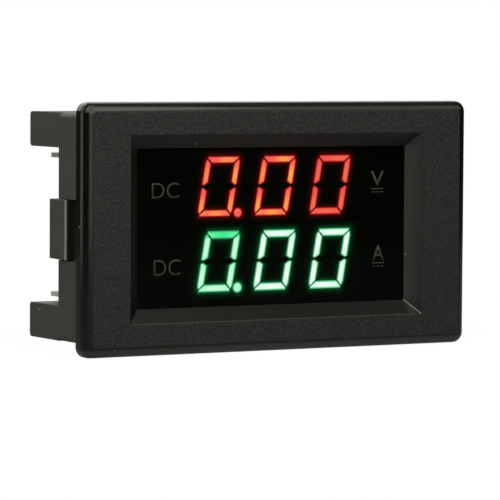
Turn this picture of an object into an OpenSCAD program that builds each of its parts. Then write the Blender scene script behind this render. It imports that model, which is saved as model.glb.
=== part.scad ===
// Digital panel meter with a volt row and an ampere row.
// X runs right, Y runs rearward and Z runs up. The origin is the centre of the
// plane where the bezel's flange meets the instrument panel.

/* [Bezel] */
// width of the bezel
bezel_w = 85; // [84.5:0.5:92]
// height of the bezel
bezel_h = 48; // [47:0.5:54]
// thickness of the bezel in front of the panel
flange_t = 3.7; // [3.6:0.1:5]
// rounding of the bezel's front edges and corners
edge_r = 2.1; // [1:0.1:2.3]

/* [Body] */
// width of the body that passes the panel's cut-out
body_w = 80; // [79:0.5:82]
// height of the body
body_h = 43.6; // [42.8:0.2:45]
// depth of the front case behind the panel plane
mid_depth = 12.2; // [12.2:0.1:14]
// reach of the rear cover's wings behind the front case
wing_reach = 12.7; // [9:0.1:16]
// height of each wing
wing_h = 6.7; // [5.5:0.1:6.9]
// wall thickness of the front case
wall = 2; // [1.6:0.1:2.2]
// thickness of the rear cover's plate
plate_t = 1.3; // [1:0.1:1.4]

/* [Window] */
// width of the clear window opening
window_w = 59.5; // [56:0.5:61]
// height of the clear window opening
window_h = 30.4; // [30:0.2:32]
// sideways offset of the window from the bezel's centre
window_x = -0.45; // [-0.6:0.05:0.6]
// depth of the sloped frame
recess_depth = 2.5; // [1.5:0.1:2.6]
// width of each slope, seen from the front
slope_run = 2.65; // [1.5:0.05:3]
// thickness of the smoked window
window_t = 1.5; // [1:0.1:1.5]

/* [Digits] */
// height of a digit
digit_h = 11.35; // [9:0.05:12]
// width of a digit, measured square to its height
digit_w = 7.46; // [6:0.02:8]
// width of one segment
segment_w = 1.12; // [0.8:0.02:1.3]
// gap between neighbouring segments
segment_gap = 0.22; // [0.15:0.01:0.3]
// lean of the digits, in degrees
lean = 10; // [0:1:12]
// distance between neighbouring digits
digit_pitch = 12.42; // [11:0.02:12.6]
// distance between the volt row and the ampere row
row_pitch = 14.4; // [14:0.1:15]
// sideways offset of the display modules
display_x = 1.07; // [-1:0.01:1.2]
// upward offset of the middle of the two rows
display_z = 0.5; // [-0.5:0.1:0.6]

/* [Latches] */
// height of each side latch
latch_h = 11.4; // [8:0.1:12]
// upward offset of the latches
latch_z = -0.45; // [-0.5:0.05:0.5]
// how far the catch stands out past the body's side
catch_out = 0.7; // [0.4:0.05:1]
// distance from the panel plane to the catch, the thickest panel it holds
catch_y = 7.6; // [6:0.1:8.5]
// reach of the finger tab behind the front case
tab_reach = 4.2; // [2:0.1:6]

/* [Terminals] */
// distance between neighbouring terminals
terminal_pitch = 5.08; // [5:0.01:5.1]
// height of a terminal housing above the circuit board
terminal_h = 11.8; // [10.8:0.1:12]
// number of supply terminals
supply_ways = 2; // [2:1:2]
// number of measuring terminals
measuring_ways = 4; // [4:1:4]
// travel of a rising clamp
clamp_travel = 1.8; // [1:0.1:1.8]

/* [Hidden] */
$fn = 32;
eps = 0.01;
// clearance of a turning fit, and of a seated or sliding one
turn_gap = 0.05;
seat_gap = 0.1;
slot_gap = 0.3;
latch_gap = 0.15;

case_black = [0.05, 0.05, 0.052];
smoked = [0.02, 0.02, 0.022, 0.8];
module_black = [0.03, 0.03, 0.03];
lit_red = [1, 0.16, 0.1];
lit_green = [0.5, 1, 0.7];
unlit_grey = [0.09, 0.09, 0.09];
board_green = [0.05, 0.27, 0.12];
terminal_green = [0.16, 0.5, 0.28];
trimmer_blue = [0.06, 0.2, 0.62];
brass_yellow = [0.78, 0.62, 0.3];
steel_grey = [0.66, 0.67, 0.69];
tin_grey = [0.75, 0.76, 0.77];

front_y = -flange_t;
body_r = 1;
cavity_w = body_w - 2 * wall;
cavity_h = body_h - 2 * wall;

// window pocket, cut from behind, with a thin land in front of the window
land_t = 0.4;
window_y = front_y + recess_depth + land_t;
window_lap = 1.8;

// stack behind the window
module_gap = 0.2;
module_y = window_y + window_t + module_gap;
board_y = 8;
board_t = 1.6;
board_back = board_y + board_t;
board_w = cavity_w - 1;
board_h = cavity_h - 0.8;
module_w = 37.4;
module_h = row_pitch - module_gap;
segment_depth = 0.3;
point_r = 0.86;
point_x = 4.15;
point_z = -5.1;
volt_z = display_z + row_pitch / 2;
amp_z = display_z - row_pitch / 2;

// board fixing
boss_in = 2.8;
boss_down = 2.1;
boss_x = cavity_w / 2 - boss_in;
boss_z = cavity_h / 2 - boss_down;
boss_r = 2.3;
screw_r = 1;
screw_head_r = 1.9;
screw_head_t = 1;
screw_bite = 5;
cross_reach = 1.1;
cross_w = 0.4;
cross_deep = 0.6;

// rear cover
rear_y = mid_depth + wing_reach;
plate_y = mid_depth - plate_t;
wing_inset = 0.2;
wing_w = body_w - 2 * wing_inset;
wing_wall = 1.4;
wing_r = 0.8;
wing_z = body_h / 2 - wing_h;
plate_lug = 4;
vent_count = 5;
vent_w = 1.2;
vent_pitch = 2.6;
vent_h = 8;
vent_x = 5;

// snap hooks that hold the rear cover in the front case
hook_x = cavity_w / 2 - 12;
hook_w = 6;
hook_t = 1;
hook_y = 5.2;
hook_z = cavity_h / 2 - 0.3 - hook_t;
bead_out = 0.65;
bead_len = 1.4;
hook_hole_h = 2.6;

// side latch, measured outward from the body's side and rearward
barrel_r = 1.2;
barrel_u = -1.8;
barrel_y = 2.6;
arm_in = -2.6;
arm_out = -1.1;
trunnion_r = 0.7;
trunnion_len = 1.2;
pillar_t = 2.4;
pillar_in = 3.6;
pillar_len = 2.4;
tab_end = mid_depth + tab_reach;
latch_sweep = 2.4;
tab_r = 0.7;

// terminal blocks, w is the distance from the screw's axis toward the wing
block_gap = 2.9;
block_x = -cavity_w / 2 + block_gap;
block_w_in = 3.6;
block_w_out = 4.4;
block_z = wing_z - 0.4 - block_w_out;
block_back = board_back + terminal_h;
tongue_reach = 1.9;
tongue_w = 2.65;
tongue_t = 0.9;
cage_x = 1.9;
cage_w = 1.7;
cage_wall = 0.6;
cage_top_t = 1;
cage_y = board_back + 2;
cage_h = 4.8;
cage_room = 0.15;
bar_t = 0.6;
bar_x = 1.1;
bar_y = cage_y + cage_h - cage_top_t - 0.2 - bar_t;
strip_w = 2.6;
clamp_room_y = cage_y + cage_h + clamp_travel + 0.1;
clamp_screw_r = 1.3;
clamp_head_r = 1.9;
clamp_head_t = 1.15;
clamp_head_y = clamp_room_y + 0.15;
driver_r = 1.6;

// calibration trimmers
trimmer_x = cavity_w / 2 - 14;
trimmer_z = 7.5;
trimmer_w = 9.5;
trimmer_t = 4.8;
trimmer_h = 10;
trimmer_foot = 0.3;
trimmer_screw_r = 1.15;
trimmer_screw_x = 3.2;
trimmer_screw_len = 4.6;
trimmer_screw_out = 0.8;

// small parts on the board's front side
pin_r = 0.3;
pin_hole_r = 0.45;
pin_pitch = 2.54;
pin_row_z = 5.08;
pin_count = 6;
pin_end = board_back + 0.7;
chip_x = -cavity_w / 2 + 10;
chip_z = 0;
chip_size = [3.9, 1.5, 9.9];
chip_pitch = 1.27;
chip_leads_per_side = 8;
lead_t = 0.2;
lead_w = 0.4;
lead_up = 1.1;
lead_shoulder = 0.5;
lead_reach = 1;
regulator_at = [chip_x - 1, wing_z - 1.5];
regulator_size = [4.5, 1.5, 2.5];
regulator_pitch = 1.5;
can_r = 3.1;
can_h = 5;
can_base = 6.6;
can_base_t = 1.2;
can_x = cavity_w / 2 - 7.5;
can_z = 10;
shunt_x = [-cavity_w / 2 + 5, display_x - module_w / 2 - 3.87];
shunt_z = -9.3;
shunt_w = 2;
shunt_t = 1;
shunt_y = 3;

front_case();
rear_cover();
display_window();
latch_left();
latch_right();
volt_module();
volt_segments();
amp_module();
amp_segments();
dark_segments();
board_pins();
circuit_board();
board_screws();
supply_terminal();
measuring_terminal();
terminal_strips();
supply_screw(1);  // supply_screw_1
supply_screw(2);  // supply_screw_2
supply_clamp(1);  // supply_clamp_1
supply_clamp(2);  // supply_clamp_2
measuring_screw(1);  // measuring_screw_1
measuring_screw(2);  // measuring_screw_2
measuring_screw(3);  // measuring_screw_3
measuring_screw(4);  // measuring_screw_4
measuring_clamp(1);  // measuring_clamp_1
measuring_clamp(2);  // measuring_clamp_2
measuring_clamp(3);  // measuring_clamp_3
measuring_clamp(4);  // measuring_clamp_4
trimmer_bodies();
volt_trimmer_screw();
amp_trimmer_screw();
measuring_chip();
voltage_regulator();
chip_leads();
capacitor_cans();
capacitor_bases();
current_shunt();

// ---- shared shapes ----

// a block between two opposite corners
module block(low, high) {
    translate(low)
        cube(high - low);
}

// a flat shape drawn in X and Z, thickened rearward from y0 to y1
module rearward(y0, y1) {
    translate([0, y1, 0])
        rotate([90, 0, 0])
            linear_extrude(y1 - y0)
                children();
}

// a flat shape drawn in Y and Z, thickened rightward from x0 to x1
module rightward(x0, x1) {
    translate([x0, 0, 0])
        rotate([90, 0, 90])
            linear_extrude(x1 - x0)
                children();
}

// a round bar along Y
module y_bar(r, y0, y1) {
    translate([0, y1, 0])
        rotate([90, 0, 0])
            cylinder(h = y1 - y0, r = r);
}

module rounded_rect(w, h, r) {
    square([w - 2 * r, h], center = true);
    square([w, h - 2 * r], center = true);
    for (x = [-1, 1], z = [-1, 1])
        translate([x * (w / 2 - r), z * (h / 2 - r)])
            circle(r);
}

// ---- front case ----

// the bezel before its frame is sunk: flat front, every front edge rounded
module bezel_blank() {
    flat_w = bezel_w - 2 * edge_r;
    flat_h = bezel_h - 2 * edge_r;
    round_y = front_y + edge_r;
    rearward(front_y, 0)
        square([flat_w, flat_h], center = true);
    rearward(round_y, 0)
        rounded_rect(bezel_w, bezel_h, edge_r);
    for (z = [-1, 1])
        translate([-flat_w / 2, round_y, z * flat_h / 2])
            rotate([0, 90, 0])
                cylinder(h = flat_w, r = edge_r);
    for (x = [-1, 1])
        translate([x * flat_w / 2, round_y, -flat_h / 2])
            cylinder(h = flat_h, r = edge_r);
    for (x = [-1, 1], z = [-1, 1])
        translate([x * flat_w / 2, round_y, z * flat_h / 2])
            sphere(edge_r);
}

// half size of the sloped frame at depth y, for a window half size
function slope_at(half, y) =
    half + slope_run * (1 - (y - front_y) / recess_depth);

// four sloped faces that meet in mitred corners
module sloped_frame() {
    lip_y = front_y + recess_depth;
    over_y = front_y - 1;
    half_w = window_w / 2;
    half_h = window_h / 2;
    intersection() {
        translate([0, 0, -bezel_h / 2])
            linear_extrude(bezel_h)
                polygon([
                    [-slope_at(half_w, over_y), over_y],
                    [slope_at(half_w, over_y), over_y],
                    [half_w, lip_y],
                    [-half_w, lip_y]
                ]);
        rightward(-bezel_w / 2, bezel_w / 2)
            polygon([
                [over_y, -slope_at(half_h, over_y)],
                [over_y, slope_at(half_h, over_y)],
                [lip_y, half_h],
                [lip_y, -half_h]
            ]);
    }
}

module display_opening() {
    translate([window_x, 0, 0]) {
        sloped_frame();
        rearward(front_y + recess_depth - eps, 1)
            square([window_w, window_h], center = true);
        rearward(window_y, 1)
            rounded_rect(window_w + 2 * (window_lap + seat_gap),
                         window_h + 2 * (window_lap + seat_gap), 0.5);
    }
}

module body_shell() {
    rearward(-1, mid_depth)
        difference() {
            rounded_rect(body_w, body_h, body_r);
            rounded_rect(cavity_w, cavity_h, body_r / 2);
        }
}

module board_boss(x, z) {
    translate([x, 0, z])
        y_bar(boss_r, -1, board_y);
}

// thickened wall above and below a latch, which carries its trunnions
module latch_pillars() {
    near = latch_h / 2 + latch_gap;
    for (side = [-1, 1])
        mirror([0, 0, side > 0 ? 0 : 1])
            block([-body_w / 2 + wall / 2, -1, near + side * latch_z],
                  [-body_w / 2 + pillar_in, barrel_y + pillar_len, near + pillar_t + side * latch_z]);
}

// slot and trunnion holes of the left latch
module latch_slot() {
    half = latch_h / 2 + latch_gap;
    block([-body_w / 2 - 1, barrel_y - barrel_r - slot_gap, latch_z - half],
          [-body_w / 2 + wall + 1, mid_depth + 1, latch_z + half]);
    translate([-body_w / 2 - barrel_u, barrel_y, latch_z - half - trunnion_len])
        cylinder(h = 2 * (half + trunnion_len), r = trunnion_r + turn_gap);
}

// groove in the top wall for one hook's bead
module bead_groove(x) {
    block([x - hook_w / 2 - slot_gap, hook_y - 0.2, cavity_h / 2 - 1],
          [x + hook_w / 2 + slot_gap, hook_y + bead_len + 0.2 + seat_gap,
           hook_z + hook_t + bead_out + 0.2]);
}

module front_case() {
    color(case_black)
        difference() {
            union() {
                difference() {
                    union() {
                        bezel_blank();
                        body_shell();
                    }
                    display_opening();
                }
                for (x = [-1, 1], z = [-1, 1])
                    board_boss(x * boss_x, z * boss_z);
                for (side = [0, 1])
                    mirror([side, 0, 0])
                        latch_pillars();
            }
            for (x = [-1, 1], z = [-1, 1])
                translate([x * boss_x, 0, z * boss_z])
                    y_bar(screw_r, board_y - screw_bite - 0.5, board_y + 1);
            for (side = [0, 1])
                mirror([side, 0, 0])
                    latch_slot();
            for (x = [-1, 1], side = [0, 1])
                mirror([0, 0, side])
                    bead_groove(x * hook_x);
        }
}

module display_window() {
    color(smoked)
        translate([window_x, 0, 0])
            rearward(window_y, window_y + window_t)
                rounded_rect(window_w + 2 * window_lap, window_h + 2 * window_lap, 0.4);
}

// ---- side latches ----

// side view of a latch from its barrel to its tab, whose corners are rounded
module latch_outline() {
    start = barrel_y - 3;
    translate([(start + tab_end) / 2, latch_z])
        rounded_rect(tab_end - start, latch_h, tab_r);
}

// the left latch: barrel at the root, sunk arm, catch and tapered finger tab
module side_latch() {
    outer = -body_w / 2;
    intersection() {
        translate([0, 0, latch_z - latch_h / 2])
            linear_extrude(latch_h) {
                translate([outer - barrel_u, barrel_y])
                    circle(barrel_r);
                polygon([
                    [outer - arm_in, barrel_y],
                    [outer - arm_in, catch_y + 1],
                    [outer + 1.5, tab_end - 0.6],
                    [outer + 1.1, tab_end],
                    [outer + 0.4, tab_end],
                    [outer, tab_end - 0.4],
                    [outer - catch_out, catch_y + 0.5],
                    [outer - catch_out, catch_y],
                    [outer - arm_out, catch_y],
                    [outer - arm_out, barrel_y]
                ]);
            }
        rightward(outer - catch_out - 1, outer - arm_in + 1)
            latch_outline();
    }
    translate([outer - barrel_u, barrel_y, latch_z - latch_h / 2 - trunnion_len])
        cylinder(h = latch_h + 2 * trunnion_len, r = trunnion_r);
}

module latch_left() {
    color(case_black)
        side_latch();
}

module latch_right() {
    color(case_black)
        mirror([1, 0, 0])
            side_latch();
}

// ---- rear cover ----

// one hollow wing, closed behind and at both ends, open toward the board
module wing() {
    side = wing_w / 2 - wing_wall;
    difference() {
        rightward(-wing_w / 2, wing_w / 2) {
            translate([(mid_depth + rear_y) / 2, wing_z + wing_h / 2])
                rounded_rect(wing_reach, wing_h, wing_r);
            translate([mid_depth, wing_z])
                square([wing_reach / 2, wing_h]);
        }
        block([-side, mid_depth - 1, wing_z + wing_wall],
              [side, rear_y - wing_wall, wing_z + wing_h - wing_wall]);
    }
}

// foot that joins the wing's channel wall to the plate
module wing_foot() {
    block([-cavity_w / 2 + 1, plate_y + 0.2, wing_z + 0.2],
          [cavity_w / 2 - 1, mid_depth + 1, wing_z + wing_wall - 0.2]);
}

// way through the plate into a wing's hollow
module hollow_mouth() {
    side = cavity_w / 2 - plate_lug;
    block([-side, plate_y - 1, wing_z + wing_wall],
          [side, mid_depth + 1, hook_z - 0.2]);
}

// snap hook: a leg along the case's top wall with a bead at its front end
module snap_hook(x) {
    rightward(x - hook_w / 2, x + hook_w / 2) {
        translate([hook_y, hook_z])
            square([plate_y - hook_y + 0.5, hook_t]);
        polygon([
            [hook_y, hook_z + hook_t - eps],
            [hook_y + bead_len - 0.2, hook_z + hook_t + bead_out],
            [hook_y + bead_len, hook_z + hook_t + bead_out],
            [hook_y + bead_len, hook_z + hook_t - eps]
        ]);
    }
}

// hole in the plate round a terminal block of n ways, tongue included
module block_opening(n) {
    block([block_x - tongue_reach - slot_gap, plate_y - 1, block_z - block_w_in - slot_gap],
          [block_x + n * terminal_pitch + slot_gap, mid_depth + 1, wing_z]);
}

module trimmer_opening(z) {
    half_w = trimmer_w / 2 + slot_gap;
    half_t = trimmer_t / 2 + slot_gap;
    block([trimmer_x - half_w, plate_y - 1, z - half_t],
          [trimmer_x + half_w, mid_depth + 1, z + half_t]);
}

// upright ventilation slots with round ends
module vent_slots() {
    for (i = [0 : vent_count - 1], z = [-1, 1])
        translate([vent_x + (i - (vent_count - 1) / 2) * vent_pitch, 0, z * (vent_h / 2 + 1.5)])
            rearward(plate_y - 1, mid_depth + 1) {
                square([vent_w, vent_h - vent_w], center = true);
                for (end = [-1, 1])
                    translate([0, end * (vent_h - vent_w) / 2])
                        circle(vent_w / 2);
            }
}

// room for a latch and its inward swing
module latch_notch() {
    half = latch_h / 2 + slot_gap;
    block([-body_w / 2 - 1, plate_y - 1, latch_z - half],
          [-body_w / 2 - arm_in + latch_sweep, mid_depth + 1, latch_z + half]);
}

module rear_cover() {
    color(case_black)
        difference() {
            union() {
                rearward(plate_y, mid_depth)
                    rounded_rect(cavity_w - 2 * seat_gap, cavity_h - 2 * seat_gap, body_r / 2);
                for (side = [0, 1])
                    mirror([0, 0, side]) {
                        wing();
                        wing_foot();
                        for (x = [-1, 1])
                            snap_hook(x * hook_x);
                    }
            }
            for (side = [0, 1])
                mirror([0, 0, side])
                    hollow_mouth();
            block_opening(supply_ways);
            mirror([0, 0, 1])
                block_opening(measuring_ways);
            for (z = [-1, 1])
                trimmer_opening(z * trimmer_z);
            vent_slots();
            for (side = [0, 1])
                mirror([side, 0, 0])
                    latch_notch();
        }
}

// ---- display ----

half_h = digit_h / 2;
half_w = digit_w / 2;

// a point of an upright digit, leaned over
function leaned(x, z) = [x + z * tan(lean), z];

// a level segment centred at height z: its ends are cut at 45 degrees
// top = 1 for the top bar, -1 for the bottom bar
module end_bar(top) {
    tip = half_w - segment_gap;
    root = tip - segment_w;
    polygon([
        leaned(-tip + 0.25, top * half_h),
        leaned(tip - 0.25, top * half_h),
        leaned(tip - 0.1, top * (half_h - 0.25)),
        leaned(root, top * (half_h - segment_w)),
        leaned(-root, top * (half_h - segment_w)),
        leaned(-tip + 0.1, top * (half_h - 0.25))
    ]);
}

module middle_bar() {
    tip = half_w - segment_gap - 0.3;
    root = tip - segment_w / 2;
    polygon([
        leaned(-tip, 0),
        leaned(-root, segment_w / 2),
        leaned(root, segment_w / 2),
        leaned(tip, 0),
        leaned(root, -segment_w / 2),
        leaned(-root, -segment_w / 2)
    ]);
}

// an upright segment, side -1 left or 1 right, up 1 upper or -1 lower
module side_bar(side, up) {
    inner = half_w - segment_w;
    polygon([
        leaned(side * (half_w - 0.2), up * (half_h - segment_gap - 0.35)),
        leaned(side * half_w, up * (half_h - segment_gap - 0.9)),
        leaned(side * half_w, up * (segment_gap + 0.25)),
        leaned(side * (half_w - 0.25), up * segment_gap),
        leaned(side * inner, up * (segment_gap + segment_w / 2 + 0.1)),
        leaned(side * inner, up * (half_h - segment_gap - segment_w)),
        leaned(side * (half_w - 0.45), up * (half_h - segment_gap - 0.35))
    ]);
}

// the six segments of a nought
module nought_outline() {
    for (up = [-1, 1]) {
        end_bar(up);
        for (side = [-1, 1])
            side_bar(side, up);
    }
}

module point_outline() {
    translate([point_x, point_z])
        circle(point_r, $fn = 24);
}

// a row's outlines at digit i, counted from the left
module at_digit(i) {
    translate([display_x + (i - 1) * digit_pitch, 0])
        children();
}

module lit_outlines() {
    for (i = [0 : 2])
        at_digit(i)
            nought_outline();
    at_digit(0)
        point_outline();
}

module dark_outlines() {
    for (i = [0 : 2])
        at_digit(i)
            middle_bar();
    for (i = [1 : 2])
        at_digit(i)
            point_outline();
}

// a row's outlines sunk into the module's face
module in_face(z) {
    translate([0, 0, z])
        rearward(module_y, module_y + segment_depth)
            children();
}

module display_module(z) {
    difference() {
        translate([display_x, 0, z])
            rearward(module_y, board_y)
                square([module_w, module_h], center = true);
        translate([0, 0, z])
            rearward(module_y - 1, module_y + segment_depth) {
                lit_outlines();
                dark_outlines();
            }
    }
}

module volt_module() {
    color(module_black)
        display_module(volt_z);
}

module amp_module() {
    color(module_black)
        display_module(amp_z);
}

module volt_segments() {
    color(lit_red)
        in_face(volt_z)
            lit_outlines();
}

module amp_segments() {
    color(lit_green)
        in_face(amp_z)
            lit_outlines();
}

module dark_segments() {
    color(unlit_grey)
        for (z = [volt_z, amp_z])
            in_face(z)
                dark_outlines();
}

// ---- circuit board ----

// children at every display pin
module at_display_pins() {
    for (row = [volt_z, amp_z], side = [-1, 1], i = [0 : pin_count - 1])
        translate([display_x + (i - (pin_count - 1) / 2) * pin_pitch, 0, row + side * pin_row_z])
            children();
}

// children at the three pins of each trimmer
module at_trimmer_pins() {
    for (z = [-1, 1], i = [-1 : 1])
        translate([trimmer_x + i * pin_pitch, 0, z * trimmer_z])
            children();
}

// children at the screw axis of each way of a block of n ways
module at_ways(n) {
    for (i = [0 : n - 1])
        at_way(i + 1)
            children();
}

module at_way(i) {
    translate([block_x + (i - 0.5) * terminal_pitch, 0, block_z])
        children();
}

// upper block, and the lower block as its mirror image
module upper_block() {
    children();
}

module lower_block() {
    mirror([0, 0, 1])
        children();
}

module board_pins() {
    color(tin_grey) {
        at_display_pins()
            y_bar(pin_r, board_y, pin_end, $fn = 16);
        at_trimmer_pins()
            y_bar(pin_r, board_y, board_back + trimmer_foot, $fn = 16);
    }
}

module strip_hole() {
    translate([0, 0, strip_w + bar_t / 2])
        y_bar(0.6, board_y - 1, board_back + 1, $fn = 16);
}

module circuit_board() {
    latch_half = latch_h / 2 + slot_gap;
    color(board_green)
        difference() {
            rearward(board_y, board_back)
                square([board_w, board_h], center = true);
            for (x = [-1, 1], z = [-1, 1])
                translate([x * boss_x, 0, z * boss_z])
                    y_bar(screw_r + 0.15, board_y - 1, board_back + 1);
            for (x = [-1, 1], z = [-1, 1])
                translate([x * hook_x, 0, z * (hook_z + 1)])
                    rearward(board_y - 1, board_back + 1)
                        square([hook_w + 0.8, hook_hole_h], center = true);
            for (side = [0, 1])
                mirror([side, 0, 0])
                    block([-body_w / 2, board_y - 1, latch_z - latch_half],
                          [-body_w / 2 - arm_in + 1.6, board_back + 1, latch_z + latch_half]);
            at_display_pins()
                y_bar(pin_hole_r, board_y - 1, board_back + 1, $fn = 16);
            at_trimmer_pins()
                y_bar(pin_hole_r, board_y - 1, board_back + 1, $fn = 16);
            upper_block()
                at_ways(supply_ways)
                    strip_hole();
            lower_block()
                at_ways(measuring_ways)
                    strip_hole();
            for (x = shunt_x)
                block([x - shunt_t / 2 - 0.1, board_y - 1, shunt_z - shunt_w / 2 - 0.1],
                      [x + shunt_t / 2 + 0.1, board_back + 1, shunt_z + shunt_w / 2 + 0.1]);
        }
}

module board_screws() {
    color(steel_grey)
        for (x = [-1, 1], z = [-1, 1])
            translate([x * boss_x, 0, z * boss_z])
                difference() {
                    union() {
                        y_bar(screw_r - 0.02, board_y - screw_bite, board_back + eps);
                        y_bar(screw_head_r, board_back, board_back + screw_head_t);
                    }
                    driver_cross();
                }
}

// cross-shaped driver recess of a board screw
module driver_cross() {
    deep_y = board_back + screw_head_t - cross_deep;
    block([-cross_reach, deep_y, -cross_w / 2], [cross_reach, deep_y + 1, cross_w / 2]);
    block([-cross_w / 2, deep_y, -cross_reach], [cross_w / 2, deep_y + 1, cross_reach]);
}

// ---- screw terminals ----

// room for one way's cage, strip, wire and screw
module way_room() {
    side = cage_x + cage_room;
    block([-side, cage_y - 0.2, -cage_w - cage_room],
          [side, clamp_room_y, strip_w + bar_t + 0.1]);
    block([-cage_x + 0.1, mid_depth, -block_w_in - 1],
          [cage_x - 0.1, bar_y + bar_t, 0]);
    y_bar(clamp_head_r + 0.2, clamp_room_y - eps, clamp_head_y + clamp_head_t + seat_gap);
    y_bar(driver_r, clamp_room_y, block_back + 1);
    block([-0.65, board_back - 1, strip_w - 0.05],
          [0.65, cage_y, strip_w + bar_t + 0.05]);
}

module terminal_housing(n) {
    right = block_x + n * terminal_pitch;
    difference() {
        union() {
            block([block_x, board_back, block_z - block_w_in],
                  [right, block_back, block_z + block_w_out]);
            block([block_x - tongue_reach, board_back, block_z + tongue_w],
                  [block_x + eps, block_back, block_z + tongue_w + tongue_t]);
        }
        at_ways(n)
            way_room();
        // lead-in above the wire entries
        rightward(block_x + 0.6, right - 0.6)
            polygon([
                [block_back + 1, block_z - block_w_in - 1],
                [block_back + 1, block_z - block_w_in + 0.8],
                [block_back - 0.8, block_z - block_w_in - 1]
            ]);
    }
}

module supply_terminal() {
    color(terminal_green)
        upper_block()
            terminal_housing(supply_ways);
}

module measuring_terminal() {
    color(terminal_green)
        lower_block()
            terminal_housing(measuring_ways);
}

// contact bar under the screw's tip, its strip and its board pin
module contact_strip() {
    block([-bar_x, bar_y, -cage_w], [bar_x, bar_y + bar_t, strip_w + bar_t]);
    block([-0.6, board_back, strip_w], [0.6, bar_y + eps, strip_w + bar_t]);
    block([-0.4, board_y, strip_w + 0.05],
          [0.4, board_back + eps, strip_w + bar_t - 0.05]);
}

module terminal_strips() {
    color(tin_grey) {
        upper_block()
            at_ways(supply_ways)
                contact_strip();
        lower_block()
            at_ways(measuring_ways)
                contact_strip();
    }
}

// slotted screw, captive between the contact bar and the housing
module clamp_screw() {
    difference() {
        union() {
            y_bar(clamp_screw_r, bar_y + bar_t + turn_gap, clamp_head_y + eps, $fn = 24);
            y_bar(clamp_head_r, clamp_head_y, clamp_head_y + clamp_head_t, $fn = 24);
        }
        block([-clamp_head_r - 1, clamp_head_y + clamp_head_t - 0.5, -0.25],
              [clamp_head_r + 1, clamp_head_y + clamp_head_t + 1, 0.25]);
    }
}

// rising cage: a square tube whose rear wall is threaded on the screw
module clamp_cage() {
    top = cage_y + cage_h;
    difference() {
        block([-cage_x, cage_y, -cage_w], [cage_x, top, cage_w]);
        block([-cage_x + cage_wall, cage_y + cage_wall, -cage_w - 1],
              [cage_x - cage_wall, top - cage_top_t, cage_w + 1]);
        y_bar(clamp_screw_r + turn_gap, top - cage_top_t - 1, top + 1, $fn = 24);
    }
}

module supply_screw(i) {
    color(steel_grey)
        upper_block()
            at_way(i)
                clamp_screw();
}

module supply_clamp(i) {
    color(tin_grey)
        upper_block()
            at_way(i)
                clamp_cage();
}

module measuring_screw(i) {
    color(steel_grey)
        lower_block()
            at_way(i)
                clamp_screw();
}

module measuring_clamp(i) {
    color(tin_grey)
        lower_block()
            at_way(i)
                clamp_cage();
}

// ---- trimmers ----

module trimmer_body() {
    top = board_back + trimmer_foot + trimmer_h;
    difference() {
        union() {
            block([-trimmer_w / 2, board_back + trimmer_foot, -trimmer_t / 2],
                  [trimmer_w / 2, top, trimmer_t / 2]);
            for (x = [-1, 1], z = [-1, 1])
                translate([x * (trimmer_w / 2 - 0.5), 0, z * (trimmer_t / 2 - 0.5)])
                    y_bar(0.5, board_back, board_back + 0.5, $fn = 16);
        }
        translate([trimmer_screw_x, 0, 0])
            y_bar(trimmer_screw_r + turn_gap, top - trimmer_screw_len + trimmer_screw_out, top + 1,
                  $fn = 24);
    }
}

module trimmer_bodies() {
    color(trimmer_blue)
        for (z = [-1, 1])
            translate([trimmer_x, 0, z * trimmer_z])
                trimmer_body();
}

module trimmer_screw(z) {
    end_y = board_back + trimmer_foot + trimmer_h + trimmer_screw_out;
    color(brass_yellow)
        translate([trimmer_x + trimmer_screw_x, 0, z])
            difference() {
                y_bar(trimmer_screw_r, end_y - trimmer_screw_len, end_y, $fn = 24);
                block([-2, end_y - 0.5, -0.2], [2, end_y + 1, 0.2]);
            }
}

module volt_trimmer_screw() {
    trimmer_screw(trimmer_z);
}

module amp_trimmer_screw() {
    trimmer_screw(-trimmer_z);
}

// ---- parts on the board's front side ----

module measuring_chip() {
    color(module_black)
        translate([chip_x, board_y - 0.2 - chip_size[1] / 2, chip_z])
            cube(chip_size, center = true);
}

module voltage_regulator() {
    color(module_black)
        translate([regulator_at[0], board_y - regulator_size[1] / 2, regulator_at[1]])
            cube(regulator_size, center = true);
}

// one gull-wing lead that leaves the chip to its right
module gull_lead() {
    out = chip_size[0] / 2;
    knee = out + lead_shoulder;
    top_y = board_y - lead_up;
    half = lead_w / 2;
    block([out, top_y, -half], [knee, top_y + lead_t, half]);
    block([knee - lead_t, top_y, -half], [knee, board_y, half]);
    block([knee - lead_t, board_y - lead_t, -half], [out + lead_reach, board_y, half]);
}

module chip_leads() {
    color(tin_grey) {
        for (side = [0, 1], i = [0 : chip_leads_per_side - 1])
            translate([chip_x, 0, chip_z + (i - (chip_leads_per_side - 1) / 2) * chip_pitch])
                mirror([side, 0, 0])
                    gull_lead();
        for (i = [-1 : 1])
            translate([regulator_at[0] + i * regulator_pitch, 0, regulator_at[1] - regulator_size[2] / 2])
                block([-0.22, board_y - 0.4, -0.9], [0.22, board_y, 0]);
    }
}

// children at the two filter capacitors
module at_capacitors() {
    for (z = [-1, 1])
        translate([can_x, 0, z * can_z])
            children();
}

module capacitor_cans() {
    color(tin_grey)
        at_capacitors()
            y_bar(can_r, board_y - can_base_t - can_h, board_y - can_base_t);
}

module capacitor_bases() {
    color(module_black)
        at_capacitors()
            rearward(board_y - can_base_t, board_y)
                rounded_rect(can_base, can_base, 0.8);
}

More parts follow.
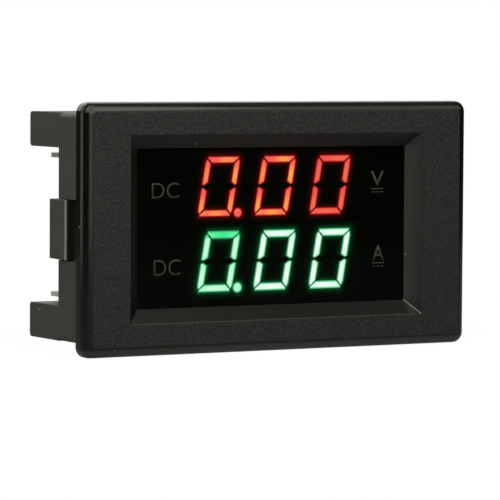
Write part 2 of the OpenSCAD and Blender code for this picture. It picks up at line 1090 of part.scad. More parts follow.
// a bent resistance strip that carries the measured current
module current_shunt() {
    bend_r = 1.5;
    mid = (shunt_x[0] + shunt_x[1]) / 2;
    span = shunt_x[1] - shunt_x[0] + shunt_t;
    leg_y = board_back - 0.1;
    color(steel_grey)
        translate([mid, 0, shunt_z - shunt_w / 2])
            linear_extrude(shunt_w)
                difference() {
                    union() {
                        translate([0, shunt_y + span / 2])
                            rounded_rect(span, span, bend_r);
                        translate([-span / 2, shunt_y + span / 2])
                            square([span, 1]);
                    }
                    translate([0, shunt_y + shunt_t + span / 2])
                        rounded_rect(span - 2 * shunt_t, span, bend_r - shunt_t);
                    translate([-span, leg_y])
                        square([2 * span, span]);
                }
}
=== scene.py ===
from math import cos, pi, radians, sin, tan

import bpy
from mathutils import Matrix, Vector


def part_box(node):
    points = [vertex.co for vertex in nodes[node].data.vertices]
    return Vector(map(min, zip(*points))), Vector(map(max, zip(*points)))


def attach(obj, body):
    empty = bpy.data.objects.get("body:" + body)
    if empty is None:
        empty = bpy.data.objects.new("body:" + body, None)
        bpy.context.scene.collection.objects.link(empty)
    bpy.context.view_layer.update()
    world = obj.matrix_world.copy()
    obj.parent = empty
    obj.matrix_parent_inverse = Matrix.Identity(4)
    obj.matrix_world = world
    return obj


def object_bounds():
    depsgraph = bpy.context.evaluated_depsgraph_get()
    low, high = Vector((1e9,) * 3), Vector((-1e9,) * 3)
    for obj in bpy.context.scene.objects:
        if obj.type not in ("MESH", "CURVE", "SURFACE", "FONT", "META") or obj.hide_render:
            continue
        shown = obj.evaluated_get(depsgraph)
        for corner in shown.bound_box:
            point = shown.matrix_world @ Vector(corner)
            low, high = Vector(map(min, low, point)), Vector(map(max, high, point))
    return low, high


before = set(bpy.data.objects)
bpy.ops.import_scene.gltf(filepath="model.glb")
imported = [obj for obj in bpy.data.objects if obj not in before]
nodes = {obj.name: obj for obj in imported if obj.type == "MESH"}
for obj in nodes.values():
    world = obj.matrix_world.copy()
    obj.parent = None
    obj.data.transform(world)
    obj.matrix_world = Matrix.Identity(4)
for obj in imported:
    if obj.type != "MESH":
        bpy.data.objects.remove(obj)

cad_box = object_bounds()
bpy.ops.object.select_all(action="DESELECT")


# ---- Front case ----
# Bezel and body are one injection moulding of black ABS. The mould is spark-eroded for
# the bezel's grained face, polished for its rounded rim, and plain for the body.

class Wire:
    """One output in the material being written. Arithmetic on it adds Math nodes."""

    tree = None

    def __init__(self, socket):
        self.socket = socket

    @classmethod
    def put(cls, kind, settings=None, sockets=None, out=0):
        """Adds any node: its settings first, then the values or links of its sockets."""
        node = cls.tree.nodes.new("ShaderNode" + kind)
        for name, value in (settings or {}).items():
            if name == "stops":
                ramp = node.color_ramp.elements
                while len(ramp) < len(value):
                    ramp.new(0.5)
                for element, (place, colour) in zip(ramp, value):
                    element.position = place
                    element.color = colour
            else:
                setattr(node, name, value)
        for name, value in (sockets or {}).items():
            if isinstance(value, Wire):
                cls.tree.links.new(value.socket, node.inputs[name])
            else:
                node.inputs[name].default_value = value
        return cls(node.outputs[out]) if len(node.outputs) else None

    def maths(self, operation, *others):
        return Wire.put("Math", {"operation": operation}, dict(enumerate((self,) + others)))

    def reflected(self, operation, other):
        return Wire.put("Math", {"operation": operation}, {0: other, 1: self})

    def __add__(self, other):
        return self.maths("ADD", other)

    def __radd__(self, other):
        return self.reflected("ADD", other)

    def __sub__(self, other):
        return self.maths("SUBTRACT", other)

    def __rsub__(self, other):
        return self.reflected("SUBTRACT", other)

    def __mul__(self, other):
        return self.maths("MULTIPLY", other)

    def __rmul__(self, other):
        return self.reflected("MULTIPLY", other)

    def __truediv__(self, other):
        return self.maths("DIVIDE", other)

    def __pow__(self, other):
        return self.maths("POWER", other)

    def __abs__(self):
        return self.maths("ABSOLUTE")

    def __lt__(self, other):
        return self.maths("LESS_THAN", other)

    def __gt__(self, other):
        return self.maths("GREATER_THAN", other)

    def least(self, other):
        return self.maths("MINIMUM", other)

    def most(self, other):
        return self.maths("MAXIMUM", other)

    def fade(self, start, end):
        """0 at start and 1 at end, with soft ends. start may be the larger."""
        return Wire.put("MapRange", {"interpolation_type": "SMOOTHSTEP"},
                        {0: self, 1: start, 2: end, 3: 0.0, 4: 1.0})

    def folded(self, pitch):
        """The distance from the nearest whole multiple of the pitch, with its sign."""
        return self - (self / pitch).maths("ROUND") * pitch


def mix(factor, first, second):
    """A colour between two colours."""
    return Wire.put("Mix", {"data_type": "RGBA"}, {0: factor, 6: first, 7: second}, out=2)


def shade(r, g, b):
    return (r, g, b, 1.0)


def length_of(a, b):
    """How long the slant over a and b is."""
    return (a * a + b * b) ** 0.5


def in_millimetres():
    """The place on the object, as a vector in millimetres."""
    return Wire.put("VectorMath", {"operation": "SCALE"},
                    {0: Wire.put("TexCoord", out="Object"), "Scale": 1000.0})


def along(vector):
    """A vector's x, y and z."""
    return [Wire.put("SeparateXYZ", None, {0: vector}, out=i) for i in range(3)]


def noise(place, per_mm, detail=2.0, roughness=0.5):
    return Wire.put("TexNoise", None, {"Vector": place, "Scale": per_mm, "Detail": detail,
                                       "Roughness": roughness})


def stretched(place, x, y, z):
    """The place scaled along each axis, for marks that run one way."""
    return Wire.put("VectorMath", {"operation": "MULTIPLY"}, {0: place, 1: (x, y, z)})


def relief(height, depth_mm, strength=1.0, edge_mm=0.0):
    """A normal for a relief of that depth. edge_mm rounds the solid's sharp edges."""
    sockets = {"Height": height, "Distance": depth_mm / 1000, "Strength": strength}
    if edge_mm:
        sockets["Normal"] = Wire.put("Bevel", {"samples": 6}, {"Radius": edge_mm / 1000})
    return Wire.put("Bump", None, sockets)


def start(name):
    """Begins a material. Everything that Wire puts from here on goes into it."""
    finish = bpy.data.materials.new(name)
    finish.use_nodes = True
    finish.node_tree.nodes.clear()
    Wire.tree = finish.node_tree
    return finish


def apply_to(finish, pieces, sockets):
    """Ends a material with its surface shader and gives it to the pieces."""
    surface = Wire.put("BsdfPrincipled", None, sockets)
    Wire.put("OutputMaterial", None, {"Surface": surface})
    for piece in pieces:
        piece.data.materials.clear()
        piece.data.materials.append(finish)


# in millimetres: the bezel's face, the mitred display frame that is sunk into it from
# its outer edge to the window opening, and the bezel's back
face_y = cad_box[0][1] * 1000
frame_x = -0.45
frame_half_w, frame_half_h, frame_depth = 32.4, 17.85, 2.6
opening_half_w, opening_half_h = 29.75, 15.2
bezel_back_y = 0.02


def black_moulding(name, pieces, dust=(), crest_highlight=0.0, edge_mm=0.12):
    """Black plastic as moulded, with painted light and shade. dust is a list of specks: x, y, z
    and radius, in mm. The crest strength paints a highlight on the outer edge of a latch's tab."""
    finish = start(name)
    place = in_millimetres()
    x, y, z = along(place)
    in_width = abs(x - frame_x) < frame_half_w
    on_face = y.fade(face_y + 0.03, face_y + 0.01)
    in_frame = (in_width * (abs(z) < frame_half_h) * (y < face_y + frame_depth)
                * (1.0 - on_face))
    on_rim = (y < bezel_back_y) * (1.0 - on_face) * (1.0 - in_frame)
    on_body = 1.0 - (y < bezel_back_y)
    low = z < -15.0
    grain = noise(place, 2.1, 3.0, 0.75)
    fine = noise(place, 9.0, 2.0)
    flow = noise(stretched(place, 1.0, 0.35, 1.0), 0.5, 3.0, 0.6)
    cloud = noise(place, 0.09, 2.0)

    # the eroded face is black with paler grains; the slopes of the sunk frame are smoother
    # and painted darker, as the shade in the recess
    pale = grain.fade(0.47, 0.62) * (0.4 + on_face * 0.6)
    colour = mix(pale, shade(0.0010, 0.0010, 0.0008), shade(0.0124, 0.0126, 0.0113))
    colour = mix(in_frame, colour, shade(0.0022, 0.0022, 0.0018))
    # painted light: the right slope is lighter and warmer towards its inner edge, for the light
    # that falls on it and the red digits' spill
    right_slope_light = in_frame * (x > 29.2) * x.fade(33.0, 29.0)
    colour = mix(right_slope_light, colour, shade(0.0165, 0.0155, 0.0145))
    # painted light: the top slope is lighter than the other slopes
    top_slope_light = in_frame * (z > opening_half_h)
    colour = mix(top_slope_light, colour, shade(0.0060, 0.0060, 0.0053))
    # painted light: a lighter band along the bottom of the rounded rim
    low_rim_light = on_rim * z.fade(-22.2, -22.9)
    colour = mix(low_rim_light, colour, shade(0.034, 0.033, 0.030))

    # a highlight is painted along the frame's lower edge, and a brighter one in the mitred
    # lower right corner
    lower_edge_highlight = abs(z + frame_half_h).fade(0.14, 0.04) * in_width * (y < face_y + 0.2)
    colour = mix(lower_edge_highlight * 0.5, colour, shade(0.06, 0.058, 0.052))
    # painted highlight in the mitred lower right corner of the frame
    off_mitre = abs((x - frame_x - opening_half_w) - (-opening_half_h - z))
    mitre_highlight = off_mitre.fade(0.12, 0.03) * (x > 29.0) * low * in_frame
    colour = mix(mitre_highlight * 0.5, colour, shade(0.50, 0.50, 0.48))

    # the plain body is painted lighter, as the light that falls on its sides, with a random
    # cloudy tone
    colour = mix(on_body * (0.5 + cloud * 0.5), colour, shade(0.0430, 0.0418, 0.0368))
    if crest_highlight:
        # painted shade: a latch's catch is darker, as the shade in its pocket
        painted_catch_shade = abs(x).fade(38.0, 39.0) * y.fade(8.3, 8.1)
        colour = mix(painted_catch_shade, colour, shade(0.006, 0.006, 0.005))
        # painted highlight along the outer edge of the latch's tab
        painted_crest_line = abs(x).fade(40.45, 40.65) * y.fade(8.5, 8.2) * crest_highlight
        colour = mix(painted_crest_line, colour, shade(0.25, 0.25, 0.24))
    for at_x, at_y, at_z, radius in dust:
        away = Wire.put("VectorMath", {"operation": "DISTANCE"},
                        {0: place, 1: (at_x, at_y, at_z)}, out="Value")
        colour = mix(away.fade(radius, radius * 0.6), colour, shade(0.55, 0.55, 0.53))

    gloss = on_face * (0.40 + grain * 0.2) + in_frame * (0.37 - low * 0.1)
    gloss = gloss + on_rim * (0.10 + flow * 0.04) + on_body * (0.42 + flow * 0.16)
    height = on_face * (grain * 0.8 + fine * 0.2) + on_body * (flow * 0.25 + fine * 0.08)
    apply_to(finish, pieces, {
        "Base Color": colour,
        "Roughness": gloss + cloud * 0.04,
        "Specular IOR Level": 0.36,
        "Normal": relief(height, 0.25, 1.0, edge_mm),
    })


black_moulding("case_moulding", [nodes["front_case"]],
               dust=[(-17.9, -1.96, 16.0, 0.15), (29.55, -1.44, -6.2, 0.09),
                     (-42.5, -1.44, 0.65, 0.16), (-36.1, -3.7, -22.5, 0.14)])


# ---- Rear cover ----
# The cover snaps in behind the case: a plate with hollow wings above and below the
# wiring channel. It is moulded of the same black ABS in a second mould.

black_moulding("cover_moulding", [nodes["rear_cover"]],
               dust=[(-39.8, 20.9, -16.4, 0.15)])


# ---- Side latches ----
# A sprung arm of black ABS in each side wall, which snaps behind the panel. A highlight
# is painted on the outer edge of its tab, and its catch is painted darker, as shade.

black_moulding("latch_moulding", [nodes["latch_left"], nodes["latch_right"]],
               crest_highlight=0.8, edge_mm=0.3)


# ---- Display window ----
# A plate of smoked acrylic behind the sloped frame. Its front is polished flat.

finish = start("smoked_acrylic")
place = in_millimetres()
wave = noise(place, 0.06, 1.0)
smear = noise(stretched(place, 0.5, 1.0, 1.6), 0.22, 3.0, 0.6)
apply_to(finish, [nodes["display_window"]], {
    "Base Color": mix(smear, shade(0.0008, 0.0014, 0.0006), shade(0.0014, 0.0022, 0.0011)),
    "Roughness": 0.05 + smear * 0.05,
    "Specular IOR Level": 0.04,
    "Alpha": 0.78,
    "Normal": relief(wave, 0.02, 0.3),
})


# ---- Printed legends ----
# Grey unit marks are screen printed on the window: DC beside each row, and V or A
# over the direct current sign. The ink stands 0.02 mm proud.

ink_t = 0.00002
ink_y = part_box("display_window")[0][1]


def lettering(name, words, x0, x1, z0, z1, weight):
    """Words as a flat piece that fills the given box on the window, in metres."""
    bpy.ops.object.text_add()
    curve = bpy.context.object
    curve.data.body = words
    curve.data.offset = weight
    bpy.ops.object.convert(target="MESH")
    piece = bpy.context.object
    piece.name = name
    corners = [vertex.co for vertex in piece.data.vertices]
    low_x, high_x = min(c.x for c in corners), max(c.x for c in corners)
    low_y, high_y = min(c.y for c in corners), max(c.y for c in corners)
    for vertex in piece.data.vertices:
        across = (vertex.co.x - low_x) / (high_x - low_x)
        up = (vertex.co.y - low_y) / (high_y - low_y)
        vertex.co = Vector((x0 + across * (x1 - x0), ink_y, z0 + up * (z1 - z0)))
    return piece


def thicken(piece):
    """Gives flat ink its thickness, toward the front."""
    bpy.context.view_layer.objects.active = piece
    bpy.ops.object.mode_set(mode="EDIT")
    bpy.ops.mesh.select_all(action="SELECT")
    bpy.ops.mesh.remove_doubles(threshold=1e-7)
    bpy.ops.mesh.extrude_region_move(TRANSFORM_OT_translate={"value": (0, -ink_t, 0)})
    bpy.ops.mesh.select_all(action="SELECT")
    bpy.ops.mesh.normals_make_consistent(inside=False)
    bpy.ops.object.mode_set(mode="OBJECT")
    bpy.ops.object.select_all(action="DESELECT")


def dashes(name, spans, z0, z1):
    """Level dashes between pairs of x values, as one flat piece, in metres."""
    parts = []
    for left, right in spans:
        bpy.ops.mesh.primitive_plane_add(size=1, rotation=(pi / 2, 0, 0),
                                         location=((left + right) / 2, ink_y, (z0 + z1) / 2))
        part = bpy.context.object
        part.scale = (right - left, z1 - z0, 1)
        parts.append(part)
    bpy.ops.object.select_all(action="DESELECT")
    for part in parts:
        part.select_set(True)
    bpy.context.view_layer.objects.active = parts[0]
    bpy.ops.object.transform_apply(location=True, rotation=True, scale=True)
    if len(parts) > 1:
        bpy.ops.object.join()
    piece = bpy.context.object
    piece.name = name
    return piece


def unit_mark(name, letter, width, middle, top):
    """A unit letter over the direct current sign: a line above three dashes."""
    letter_h, letter_weight = 0.00302, 0.004
    line_top, dashes_top, line_t = 0.00338, 0.00402, 0.00018
    sign_w, dash_gap = 0.00284, 0.00021
    left = middle - sign_w / 2
    third = sign_w / 3
    mark = lettering(name, letter, middle - width / 2, middle + width / 2,
                     top - letter_h, top, letter_weight)
    line = dashes(name + "_line", [(left, left + sign_w)],
                  top - line_top - line_t, top - line_top)
    spans = [(left + i * third + dash_gap, left + (i + 1) * third - dash_gap)
             for i in range(3)]
    broken = dashes(name + "_dashes", spans, top - dashes_top - line_t, top - dashes_top)
    bpy.ops.object.select_all(action="DESELECT")
    for part in (line, broken, mark):
        part.select_set(True)
    bpy.context.view_layer.objects.active = mark
    bpy.ops.object.join()
    thicken(mark)
    return mark


legends = [
    unit_mark("volt_mark", "V", 0.00300, 0.02326, 0.01028),
    unit_mark("ampere_mark", "A", 0.00276, 0.02360, -0.00430),
]
for name, x0, x1, z0, z1 in (
        ("upper_current_mark", -0.02686, -0.02099, 0.00570, 0.00864),
        ("lower_current_mark", -0.02637, -0.02060, -0.00899, -0.00597)):
    mark = lettering(name, "DC", x0, x1, z0, z1, -0.011)
    thicken(mark)
    legends.append(mark)

finish = start("legend_ink")
speckle = noise(in_millimetres(), 9.0, 2.0, 0.6)
apply_to(finish, legends, {
    "Base Color": mix(speckle.fade(0.3, 0.7), shade(0.034, 0.032, 0.028),
                      shade(0.052, 0.049, 0.045)),
    "Roughness": 0.55 + speckle * 0.15,
    "Specular IOR Level": 0.1,
    "Normal": relief(speckle, 0.004, 0.4),
})
for mark in legends:
    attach(mark, "meter")


# ---- Display modules ----
# Two three-digit light-emitting modules: a black housing with a leaning light guide in
# each segment. The volt row glows red and the ampere row glows green.

def centre(name):
    """The middle of a CAD piece across and up, in mm."""
    low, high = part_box(name)
    return (low[0] + high[0]) / 2 * 1000, (low[2] + high[2]) / 2 * 1000


# in millimetres: the rows' places, then an upright digit's half sizes and point, and in
# one quarter of it the corners of a level bar and of a side bar
display_x, volt_z = centre("volt_module")
amp_z = centre("amp_module")[1]
digit_pitch = 12.42
half_width, half_height = 3.73, 5.675
point_x, point_z, point_r = 4.15, -5.1, 0.86
end_bar = [(-1.0, 5.675), (3.26, 5.675), (3.41, 5.425), (2.39, 4.555), (-1.0, 4.555)]
side_bar = [(3.28, 5.105), (3.53, 5.105), (3.73, 4.555), (3.73, 0.47), (3.48, 0.22),
            (2.61, 0.88), (2.61, 4.335)]
lean = tan(radians(10))

# the guides shine strongly, because the smoked window takes most of their light
lit_strength = 20.7


def digit_place(x, z, row_z):
    """Across and up from the middle of the nearest digit in a row, and which digit it is:
    -1, 0 or 1."""
    up = z - row_z
    upright_x = x - up * lean - display_x
    number = (upright_x / digit_pitch).maths("ROUND").most(-1.0).least(1.0)
    return upright_x - number * digit_pitch, up, number


def beyond(u, v, corners):
    """How far a place lies outside a convex shape whose corners run clockwise, in mm."""
    furthest = None
    for (u0, v0), (u1, v1) in zip(corners, corners[1:] + corners[:1]):
        run = length_of(u1 - u0, v1 - v0)
        out_u, out_v = (v0 - v1) / run, (u1 - u0) / run
        side = u * out_u + v * out_v - (u0 * out_u + v0 * out_v)
        furthest = side if furthest is None else furthest.most(side)
    return furthest


def beyond_lit(x, across, up):
    """How far a place lies outside the lit bars and the point, in mm; below 0 inside."""
    u, v = abs(across), abs(up)
    bars = beyond(u, v, end_bar).least(beyond(u, v, side_bar))
    point = length_of(x - (display_x - digit_pitch + point_x), up - point_z) - point_r
    return bars.least(point)


def housing(name, piece, row_z, spread, edge, near, far):
    """The black face of a module, with the glow that the lit guides throw on it: edge
    within spread, in mm, and beyond it near and far, which die away. The first digit's
    edge is weaker, and the gaps between the bars stay dark."""
    finish = start(name)
    place = in_millimetres()
    x, y, z = along(place)
    across, up, number = digit_place(x, z, row_z)
    away = beyond_lit(x, across, up).most(0.0)
    off_corner = abs((abs(across) - half_width) - (abs(up) - half_height))
    by_a_bar = off_corner.fade(0.09, 0.25) * abs(up).fade(0.15, 0.55)
    bloom = away.fade(spread + 0.14, spread) * by_a_bar * (1.0 - (number < -0.5) * 0.4)
    tight = (away * -4.2).maths("EXPONENT") * (0.35 + by_a_bar * 0.65)
    wide = (away * -1.0).maths("EXPONENT")
    pits = noise(place, 4.0, 2.0)
    on_face = y.fade(1.3, 1.0)
    glow = mix(tight, shade(0.0, 0.0, 0.0), near)
    glow = mix(wide * 0.5, glow, far)
    glow = mix(bloom, glow, edge)
    glow = mix(on_face, shade(0.0, 0.0, 0.0), glow)
    apply_to(finish, [piece], {
        "Base Color": mix(pits, shade(0.0015, 0.0015, 0.0015), shade(0.004, 0.004, 0.004)),
        "Roughness": 0.5 + pits * 0.2,
        "Emission Color": glow,
        "Emission Strength": lit_strength,
        "Normal": relief(pits, 0.008, 0.4),
    })


housing("volt_housing", nodes["volt_module"], volt_z, 0.0,
        shade(0.80, 0.02, 0.02), shade(0.26, 0.004, 0.004), shade(0.0045, 0.0002, 0.0002))
housing("ampere_housing", nodes["amp_module"], amp_z, 0.07,
        shade(0.16, 0.72, 0.34), shade(0.005, 0.34, 0.085), shade(0.0002, 0.0095, 0.0025))


def sources(across, up, spots):
    """1 over each light source behind the guides, and 0 away from them."""
    hot = across * 0.0
    for spot_x, spot_z, strength in spots:
        near = length_of(across - spot_x, up - spot_z).fade(2.7, 0.2)
        hot = hot.most(near * strength)
    return hot


# the volt row's guides: orange over the light sources and red away from them, dimmer in
# the last digit
finish = start("lit_red_guide")
place = in_millimetres()
x, y, z = along(place)
across, up, number = digit_place(x, z, volt_z)
hot = sources(across, up, [(0.9, 5.1, 0.8), (3.2, 2.0, 1.0), (3.2, -3.6, 0.7),
                           (0.2, -5.1, 0.8), (-3.2, -3.9, 0.85), (-3.2, 2.2, 0.55)])
hot = hot * (0.60 + (abs(number) < 0.5) * 0.2 - (number > 0.5) * 0.35)
core = beyond_lit(x, across, up).fade(0.0, -0.18)
frost = noise(place, 3.0, 2.0)
lit = mix(hot, shade(1.0, 0.110, 0.095), shade(1.0, 0.46, 0.060))
lit = mix((number > 0.5) * 0.25, lit, shade(0.45, 0.03, 0.04))
apply_to(finish, [nodes["volt_segments"]], {
    "Base Color": mix(frost, shade(0.5, 0.06, 0.05), shade(0.6, 0.09, 0.07)),
    "Roughness": 0.4 + frost * 0.2,
    "Emission Color": mix(core, shade(0.30, 0.010, 0.010), lit),
    "Emission Strength": lit_strength,
    "Normal": relief(frost, 0.01, 0.3),
})

# the ampere row's guides: nearly white in two digits and mint in the first one, whose
# top is weak and green
finish = start("lit_green_guide")
place = in_millimetres()
x, y, z = along(place)
across, up, number = digit_place(x, z, amp_z)
hot = sources(across, up, [(0.0, 5.1, 1.0), (3.2, 2.6, 1.0), (3.2, -2.9, 1.0),
                           (0.0, -5.1, 1.0), (-3.2, -2.9, 1.0), (-3.2, 2.6, 1.0)])
strong = 0.02 + number.fade(-0.9, -0.1) * 0.5
weak = (up > 4.5) * (number < -0.5)
core = beyond_lit(x, across, up).fade(0.0, -0.14)
frost = noise(place, 3.0, 2.0)
lit = mix((strong + hot * 0.3).least(1.0), shade(0.40, 1.0, 0.62), shade(0.95, 1.0, 0.97))
lit = mix(weak * (0.75 + hot * 0.2), lit, shade(0.02, 0.85, 0.26))
apply_to(finish, [nodes["amp_segments"]], {
    "Base Color": mix(frost, shade(0.3, 0.6, 0.42), shade(0.4, 0.7, 0.5)),
    "Roughness": 0.4 + frost * 0.2,
    "Emission Color": mix(core, shade(0.04, 0.34, 0.14), lit),
    "Emission Strength": lit_strength,
    "Normal": relief(frost, 0.01, 0.3),
})

# unlit guides: dark tinted resin
finish = start("unlit_guide")
frost = noise(in_millimetres(), 3.0, 2.0)
apply_to(finish, [nodes["dark_segments"]], {
    "Base Color": mix(frost, shade(0.010, 0.010, 0.010), shade(0.016, 0.016, 0.015)),
    "Roughness": 0.4 + frost * 0.15,
    "Normal": relief(frost, 0.01, 0.3),
})


# ---- Circuit board ----
# Glass-fibre laminate with tracks under a green solder mask, and a tinned pad round
# every pin. It sits on four bosses of the case.

board_low, board_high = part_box("circuit_board")
pin_pitch, pin_row = 2.54, 5.08
finish = start("board_laminate")
place = in_millimetres()
x, y, z = along(place)
weave = noise(stretched(place, 1.0, 0.2, 6.0), 1.4, 2.0)
cross_weave = noise(stretched(place, 6.0, 0.2, 1.0), 1.4, 2.0)
blotch = noise(place, 0.14, 3.0)
lane = z.folded(1.27)
track = (abs(lane) < 0.28) * (noise(stretched(place, 0.16, 0.0, 0.62), 1.0, 1.0) > 0.5)
pad_x = (x - (display_x + pin_pitch / 2)).folded(pin_pitch)
pad_z = abs(abs(z - (volt_z + amp_z) / 2) - (volt_z - amp_z) / 2) - pin_row
pad = (length_of(pad_x, pad_z) < 0.85) * (abs(x - display_x) < pin_pitch * 3)
edge = (y - board_low[1] * 1000).fade(0.02, 0.05) * (board_high[1] * 1000 - y).fade(0.02, 0.05)
mask_green = mix(blotch.fade(0.3, 0.7), shade(0.008, 0.085, 0.030), shade(0.013, 0.115, 0.042))
mask_green = mix(track * 0.8, mask_green, shade(0.030, 0.190, 0.075))
laminate = mix(weave * cross_weave * 2.0, shade(0.32, 0.34, 0.20), shade(0.48, 0.47, 0.30))
top = mix(pad, mask_green, shade(0.70, 0.70, 0.68))
apply_to(finish, [nodes["circuit_board"]], {
    "Base Color": mix(edge, top, laminate),
    "Metallic": pad * (1.0 - edge),
    "Roughness": 0.3 + blotch * 0.15 + edge * 0.35,
    "Normal": relief(track * 0.6 + weave * 0.15 + cross_weave * 0.15 + pad, 0.03, 0.6),
})


# ---- Pins, strips and solder joints ----
# Tinned copper pins and contact strips go through the board. Each display pin is held
# by a small cone of solder.

def tin_plating(name, pieces, dull=0.0):
    """Bright tin over drawn metal. dull adds to its roughness."""
    finish = start(name)
    place = in_millimetres()
    drawn = noise(stretched(place, 4.0, 0.5, 4.0), 1.2, 3.0)
    bloom = noise(place, 0.8, 3.0, 0.6)
    apply_to(finish, pieces, {
        "Base Color": mix(bloom, shade(0.55, 0.55, 0.54), shade(0.74, 0.74, 0.73)),
        "Metallic": 1.0,
        "Roughness": 0.24 + dull + drawn * 0.16 + bloom * 0.12,
        "Normal": relief(drawn * 0.6 + bloom * 0.4, 0.01, 0.45, edge_mm=0.05),
    })


cages = [nodes[n] for n in nodes if "_clamp_" in n]
tin_plating("tin_plating", [nodes["board_pins"], nodes["terminal_strips"], nodes["chip_leads"]])
tin_plating("cage_plating", cages, dull=0.08)

foot_r, foot_t = 0.00078, 0.00012
cone_steps = ((0.00010, 0.72), (0.00016, 0.68), (0.00020, 0.80), (0.00018, 0.72),
              (0.00004, 0.45))
bpy.ops.mesh.primitive_cylinder_add(vertices=16, radius=foot_r, depth=foot_t,
                                    end_fill_type="NGON", rotation=(pi / 2, 0, 0),
                                    location=(0, board_high[1] + foot_t / 2, 0))
joint = bpy.context.object
bpy.ops.object.transform_apply(location=True, rotation=True, scale=True)
bpy.ops.object.mode_set(mode="EDIT")
bpy.ops.mesh.select_mode(type="FACE")
bpy.ops.mesh.select_all(action="DESELECT")
bpy.ops.object.mode_set(mode="OBJECT")
for face in joint.data.polygons:
    face.select = face.normal.y > 0.9
bpy.ops.object.mode_set(mode="EDIT")
for rise, width in cone_steps:
    bpy.ops.mesh.extrude_region_move(TRANSFORM_OT_translate={"value": (0, rise, 0)})
    bpy.ops.transform.resize(value=(width, 1, width))
bpy.ops.mesh.select_all(action="SELECT")
bpy.ops.mesh.normals_make_consistent(inside=False)
bpy.ops.object.mode_set(mode="OBJECT")
pin_places = [((display_x + (i - 2.5) * pin_pitch) / 1000, (row_z + side * pin_row) / 1000)
              for row_z in (volt_z, amp_z) for side in (-1, 1) for i in range(6)]
joints = []
for at_x, at_z in pin_places:
    copy = joint.copy()
    copy.data = joint.data.copy()
    copy.data.transform(Matrix.Translation((at_x, 0, at_z)))
    bpy.context.collection.objects.link(copy)
    joints.append(copy)
bpy.data.objects.remove(joint)
bpy.ops.object.select_all(action="DESELECT")
for copy in joints:
    copy.select_set(True)
bpy.context.view_layer.objects.active = joints[0]
bpy.ops.object.join()
solder = bpy.context.object
solder.name = "solder_joints"
bpy.ops.object.shade_smooth_by_angle(angle=radians(50))
bpy.ops.object.select_all(action="DESELECT")
tin_plating("solder_metal", [solder])
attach(solder, "meter")


# ---- Screws ----
# Zinc-plated steel: four cross-head screws hold the board, and six slotted screws work
# the terminals. Their heads show rings from the lathe.

def turned_metal(name, pieces, across, up, light, dark, rings):
    """Lathe-turned metal. across(x) and up(z) give the way from the nearest piece's axis,
    and rings says how closely the lathe's rings lie round it."""
    finish = start(name)
    place = in_millimetres()
    x, y, z = along(place)
    ring = (length_of(across(x), up(z)) * rings).maths("SINE") * 0.5 + 0.5
    patch = noise(place, 1.1, 3.0, 0.6)
    apply_to(finish, pieces, {
        "Base Color": mix(patch, dark, light),
        "Metallic": 1.0,
        "Roughness": 0.22 + patch * 0.2 + ring * 0.06,
        "Normal": relief(ring * 0.5 + patch * 0.5, 0.008, 0.5, edge_mm=0.06),
    })


zinc_light, zinc_dark = shade(0.66, 0.67, 0.68), shade(0.46, 0.47, 0.49)
board_screw_r = 1.9
boss_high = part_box("board_screws")[1]
boss_x = boss_high[0] * 1000 - board_screw_r
boss_z = boss_high[2] * 1000 - board_screw_r
turned_metal("board_screw_zinc", [nodes["board_screws"]],
             lambda x: abs(x) - boss_x, lambda z: abs(z) - boss_z, zinc_light, zinc_dark, 40.0)

way_pitch = 5.08
way_x, way_z = centre("supply_screw_1")
way_screws = [nodes[n] for n in nodes if n.startswith(("supply_screw", "measuring_screw"))]
turned_metal("terminal_screw_zinc", way_screws,
             lambda x: (x - way_x).folded(way_pitch), lambda z: abs(z) - way_z,
             zinc_light, zinc_dark, 40.0)


# ---- Terminal blocks ----
# Housings moulded of pale green polyamide, two ways above and four below, soldered to
# the board behind the cover's openings.

finish = start("green_polyamide")
place = in_millimetres()
flow = noise(stretched(place, 0.6, 2.0, 0.6), 0.5, 3.0)
grain = noise(place, 8.0, 2.0)
apply_to(finish, [nodes["supply_terminal"], nodes["measuring_terminal"]], {
    "Base Color": mix(flow, shade(0.30, 0.40, 0.31), shade(0.41, 0.50, 0.41)),
    "Roughness": 0.42 + grain * 0.14,
    "Normal": relief(grain * 0.6 + flow * 0.4, 0.015, 0.5, edge_mm=0.12),
})


# ---- Calibration trimmers ----
# Two multi-turn trimmers in blue moulded cases. A slotted brass screw sets each row.

finish = start("blue_moulding")
place = in_millimetres()
flow = noise(place, 0.5, 3.0)
grain = noise(place, 9.0, 2.0)
apply_to(finish, [nodes["trimmer_bodies"]], {
    "Base Color": mix(flow, shade(0.010, 0.060, 0.270), shade(0.018, 0.085, 0.340)),
    "Roughness": 0.32 + grain * 0.12,
    "Normal": relief(grain, 0.01, 0.4, edge_mm=0.12),
})
brass_x, brass_z = centre("volt_trimmer_screw")
turned_metal("trimmer_brass", [nodes["volt_trimmer_screw"], nodes["amp_trimmer_screw"]],
             lambda x: x - brass_x, lambda z: abs(z) - brass_z,
             shade(0.82, 0.62, 0.28), shade(0.62, 0.44, 0.18), 45.0)


# ---- Small parts on the board ----
# Measuring chip and regulator in black epoxy, two filter capacitors in drawn aluminium
# cans on black bases, and a bent strip of resistance alloy that carries the current.

finish = start("black_epoxy")
grit = noise(in_millimetres(), 10.0, 3.0, 0.6)
apply_to(finish, [nodes["measuring_chip"], nodes["voltage_regulator"],
                  nodes["capacitor_bases"]], {
    "Base Color": mix(grit, shade(0.014, 0.014, 0.015), shade(0.026, 0.026, 0.027)),
    "Roughness": 0.5 + grit * 0.2,
    "Normal": relief(grit, 0.02, 0.5, edge_mm=0.08),
})

can_low, can_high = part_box("capacitor_cans")
can_r = (can_high[0] - can_low[0]) / 2 * 1000
can_x = centre("capacitor_cans")[0]
can_z = can_high[2] * 1000 - can_r
turned_metal("drawn_aluminium", [nodes["capacitor_cans"]],
             lambda x: x - can_x, lambda z: abs(z) - can_z,
             shade(0.80, 0.81, 0.82), shade(0.68, 0.69, 0.70), 25.0)

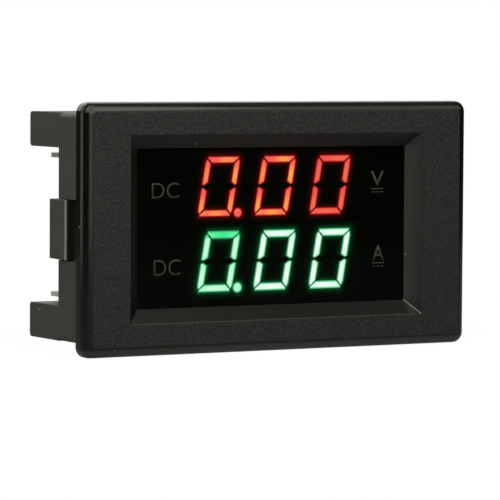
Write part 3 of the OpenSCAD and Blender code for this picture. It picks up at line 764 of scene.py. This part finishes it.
finish = start("resistance_alloy")
rolled = noise(stretched(in_millimetres(), 0.3, 0.3, 8.0), 1.5, 3.0)
apply_to(finish, [nodes["current_shunt"]], {
    "Base Color": mix(rolled, shade(0.48, 0.40, 0.32), shade(0.62, 0.54, 0.45)),
    "Metallic": 1.0,
    "Roughness": 0.3 + rolled * 0.2,
    "Normal": relief(rolled, 0.01, 0.5, edge_mm=0.08),
})


# ---- Studio ----
# A white table in a dim grey room with five warm white screens: one in front, one at
# the right, two at the left and one behind. A soft lamp hangs over the front.

floor_z = cad_box[0][2] - 0.00005
bpy.ops.mesh.primitive_circle_add(vertices=96, radius=0.35, fill_type="NGON",
                                  location=(0, 0, floor_z))
floor = bpy.context.object
floor.name = "floor"

# the camera sees white paper, but only a grey sheet's light comes back to the meter
finish = start("floor_paper")
x, y, z = along(in_millimetres())
mirrored = Wire.put("LightPath", out="Is Glossy Ray") * x.fade(-70.0, -20.0) * 0.22
seen = Wire.put("LightPath", out="Is Camera Ray") + mirrored
seen = (seen + Wire.put("LightPath", out="Is Transmission Ray")).least(1.0)
far = length_of(x, y).fade(70.0, 190.0)
white = mix(far, shade(1.14, 1.14, 1.14), shade(1.0, 1.0, 1.0))
plain = Wire.put("Emission", None, {"Color": white, "Strength": 1.0})
paper = Wire.put("BsdfDiffuse", None, {"Color": shade(0.22, 0.22, 0.22)})
sheet = Wire.put("MixShader", None, {0: seen * (0.85 + far * 0.15), 1: paper, 2: plain})
Wire.put("OutputMaterial", None, {"Surface": sheet})
floor.data.materials.append(finish)

room = bpy.data.worlds.new("room")
bpy.context.scene.world = room
room.use_nodes = True
room.node_tree.nodes.clear()
Wire.tree = room.node_tree
camera_ray = Wire.put("LightPath", out="Is Camera Ray")
rightward, rearward, upward = along(Wire.put("TexCoord", out="Generated"))
turn = (0.0 - rightward).maths("ARCTAN2", 0.0 - rearward) * (180 / pi)
rise = upward.maths("ARCSINE") * (180 / pi)


def screen(left, right, low, high, soft=3.0):
    """1 on a white screen and 0 beside it. left and right are turns from the front
    towards the meter's left, low and high are rises, and all are in degrees."""
    middle, half = (left + right) / 2, (left - right) / 2
    across = abs((turn - middle).folded(360.0)).fade(half + soft, half - soft)
    return across * rise.fade(low - soft, low + soft) * rise.fade(high + soft, high - soft)


front_screen = screen(36, -6, -14, 24)
light = 0.05 + rise.fade(45, 60) * 0.25 + front_screen * 1.35
light = light + screen(-6, -62, 17, 50) * 1.3 + screen(84, 42, 14, 60) * 2.1
light = light + screen(137, 103, -25, 45) * 1.2 + screen(225, 143, 10, 60) * 1.6
warm = mix(front_screen, shade(1.0, 0.965, 0.86), shade(1.0, 0.99, 0.94))
backdrop = Wire.put("Background", None, {
    "Color": mix(camera_ray, warm, shade(1.0, 1.0, 1.0)),
    "Strength": light + (1.0 - light) * camera_ray,
})
Wire.put("OutputWorld", None, {"Surface": backdrop})

# a soft round lamp above the front, which pales the top of the bezel
lamp_place = Vector((-0.04, -0.12, 0.15))
lamp_aim = Vector((0.0, 0.0, 0.02))
bpy.ops.object.light_add(type="AREA", location=lamp_place)
lamp = bpy.context.object
lamp.name = "top_lamp"
lamp.data.shape = "DISK"
lamp.data.size = 0.30
lamp.data.energy = 0.46
lamp.data.color = (1.0, 0.98, 0.93)
lamp.rotation_euler = (lamp_aim - lamp_place).to_track_quat("-Z", "Y").to_euler()


# ---- Camera ----
# A long lens a little above the meter, thirty degrees round to its left.

yaw, pitch, roll = radians(-29.789), radians(3.457), radians(0.350)
back = Vector((sin(yaw) * cos(pitch), -cos(yaw) * cos(pitch), sin(pitch)))
level = (-back).cross(Vector((0, 0, 1))).normalized()
upright = level.cross(-back)
right = cos(roll) * level + sin(roll) * upright
up = -sin(roll) * level + cos(roll) * upright
distance, shift_right, shift_up = 0.66204, -0.006153, -0.004515
aim = Vector((0, cad_box[0][1], 0))
eye = aim + distance * back + shift_right * right + shift_up * up
bpy.ops.object.camera_add()
camera = bpy.context.object
camera.name = "camera"
camera.data.sensor_width = 36.0
camera.data.lens = 248.02
camera.data.clip_start = 0.01
camera.matrix_world = Matrix.Translation(eye) @ Matrix((right, up, back)).transposed().to_4x4()
bpy.context.scene.camera = camera
bpy.context.scene.view_settings.view_transform = "Standard"
